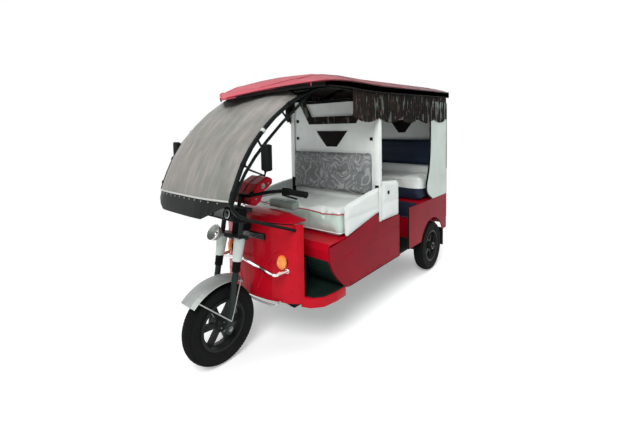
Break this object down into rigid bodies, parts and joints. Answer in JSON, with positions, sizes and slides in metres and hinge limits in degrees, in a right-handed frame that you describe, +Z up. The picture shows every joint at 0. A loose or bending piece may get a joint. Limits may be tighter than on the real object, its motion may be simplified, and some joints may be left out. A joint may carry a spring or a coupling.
{
  "type": "electric rickshaw",
  "caption": "Passenger electric rickshaw with one steered front wheel, a sloped windscreen, a driver's cab, facing passenger benches and a crowned roof with a visor.",
  "frame": {"origin": "on the ground under the middle of the vehicle's length and width", "axes": "+X forward, +Y to the driver's left, +Z up"},
  "size_m": [2.79, 0.988, 1.878],
  "materials": {
    "red_paint": "gloss",
    "roof_red": "satin",
    "white_vinyl": "satin",
    "pale_vinyl": "satin",
    "grey_print": "matt print",
    "navy_vinyl": "satin",
    "black_plastic": "satin",
    "frame_enamel": "satin",
    "fork_enamel": "satin",
    "silver": "satin metallic",
    "chrome": "polished",
    "tyre_rubber": "matt",
    "rim_enamel": "satin",
    "screen_sheet": "grey tint",
    "band_plastic": "satin",
    "amber_lens": "clear",
    "red_lens": "clear",
    "lamp_glass": "clear",
    "curtain": "coated",
    "valance_cloth": "matt",
    "floor_mat": "matt"
  },
  "bodies": {
    "root": {"chassis_frame": "frame_enamel", "leaf_spring_left": "frame_enamel", "leaf_spring_right": "frame_enamel", "rear_axle": "frame_enamel", "battery_pack": "black_plastic", "floor_pan": "floor_mat", "front_shield": "red_paint", "dash_cowl": "red_paint", "dash_grille": "black_plastic", "turn_lamp_left": "amber_lens", "turn_lamp_right": "amber_lens", "leg_guard": "chrome", "side_panel_left": "red_paint", "side_panel_right": "red_paint", "driver_seat_box": "red_paint", "bulkhead": "white_vinyl", "driver_cushion": "pale_vinyl", "driver_backrest": "grey_print", "front_bench_cushion": "white_vinyl", "front_bench_backrest": "navy_vinyl", "rear_cushion": "white_vinyl", "rear_backrest": "navy_vinyl", "driver_seat_side_left": "white_vinyl", "driver_seat_side_right": "white_vinyl", "bench_side_pad_left": "white_vinyl", "bench_side_pad_right": "white_vinyl", "front_bench_box": "red_paint", "rear_tub": "red_paint", "rear_side_left": "red_paint", "rear_side_right": "red_paint", "tail_board": "red_paint", "rear_hood": "curtain", "bench_back_panel": "white_vinyl", "tail_lamp_left": "red_lens", "tail_lamp_right": "red_lens", "rear_bumper": "silver", "roof": "roof_red", "cabin_frame": "frame_enamel", "valance_left": "valance_cloth", "valance_right": "valance_cloth", "windscreen": "screen_sheet", "windscreen_band": "band_plastic", "windscreen_frame_left": "frame_enamel", "windscreen_frame_right": "frame_enamel", "mirror_left": "black_plastic", "mirror_right": "black_plastic"},
    "steering": {"fork": "fork_enamel", "handlebar": "black_plastic", "handlebar_cowl": "red_paint", "headlamp": "black_plastic", "headlamp_lens": "lamp_glass", "horn": "silver", "front_fender": "silver"},
    "front_wheel": {"front_tyre": "tyre_rubber", "front_rim": "rim_enamel"},
    "rear_left_wheel": {"rear_left_tyre": "tyre_rubber", "rear_left_rim": "rim_enamel"},
    "rear_right_wheel": {"rear_right_tyre": "tyre_rubber", "rear_right_rim": "rim_enamel"}
  },
  "joints": [
    {"name": "steering_turn", "type": "hinge", "parent": "root", "child": "steering", "pos_m": [1.1176, 0, 0.23656], "axis": [-0.1839, 0, 0.9829], "range_deg": [-40, 40]},
    {"name": "front_wheel_spin", "type": "hinge", "parent": "steering", "child": "front_wheel", "pos_m": [1.152, 0, 0.243], "axis": [0, 1, 0], "continuous": true},
    {"name": "rear_left_wheel_spin", "type": "hinge", "parent": "root", "child": "rear_left_wheel", "pos_m": [-1.007, 0.422, 0.243], "axis": [0, 1, 0], "continuous": true},
    {"name": "rear_right_wheel_spin", "type": "hinge", "parent": "root", "child": "rear_right_wheel", "pos_m": [-1.007, -0.422, 0.243], "axis": [0, 1, 0], "continuous": true}
  ]
}
